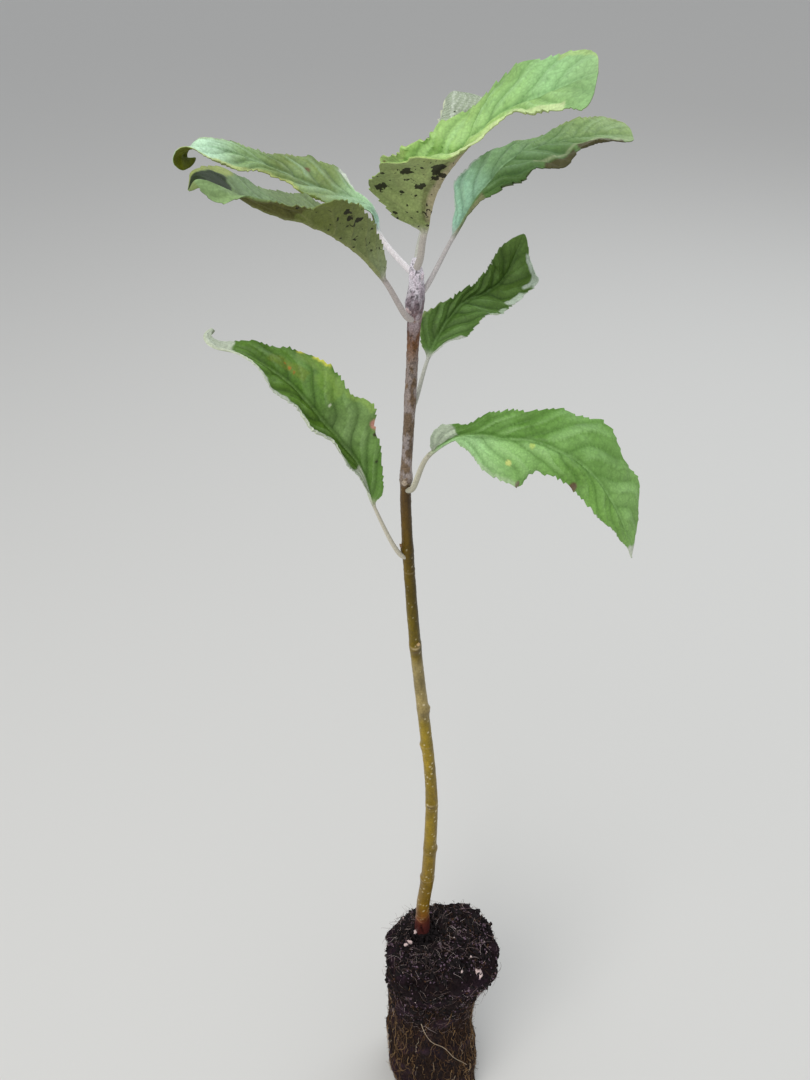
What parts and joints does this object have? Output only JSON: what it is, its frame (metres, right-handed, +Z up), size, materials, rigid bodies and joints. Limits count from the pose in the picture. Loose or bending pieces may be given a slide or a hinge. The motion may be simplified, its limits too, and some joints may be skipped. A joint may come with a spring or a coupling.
{
  "type": "apple sapling with root ball",
  "caption": "Young apple sapling: a thin upright stem with broad leaves at its top, standing on a tall plug of compost and matted roots.",
  "frame": {"origin": "centre of the root ball's flat underside, at ground level", "axes": "+Z up, +X to the plant's right as seen from its front, +Y to its back"},
  "size_m": [0.1207, 0.0914, 0.5894],
  "materials": {
    "compost": "matte",
    "bark": "satin",
    "leaf": "satin",
    "downy_leaf": "matte"
  },
  "bodies": {
    "root": {"root_ball": "compost", "stem": "bark", "leaf_low_left": "leaf", "leaf_low_right": "leaf", "leaf_mid_right": "leaf", "leaf_upper_right": "leaf", "leaf_upper_left_front": "leaf", "leaf_upper_left_back": "leaf", "leaf_top_front": "leaf", "leaf_top_young": "downy_leaf"}
  },
  "joints": []
}
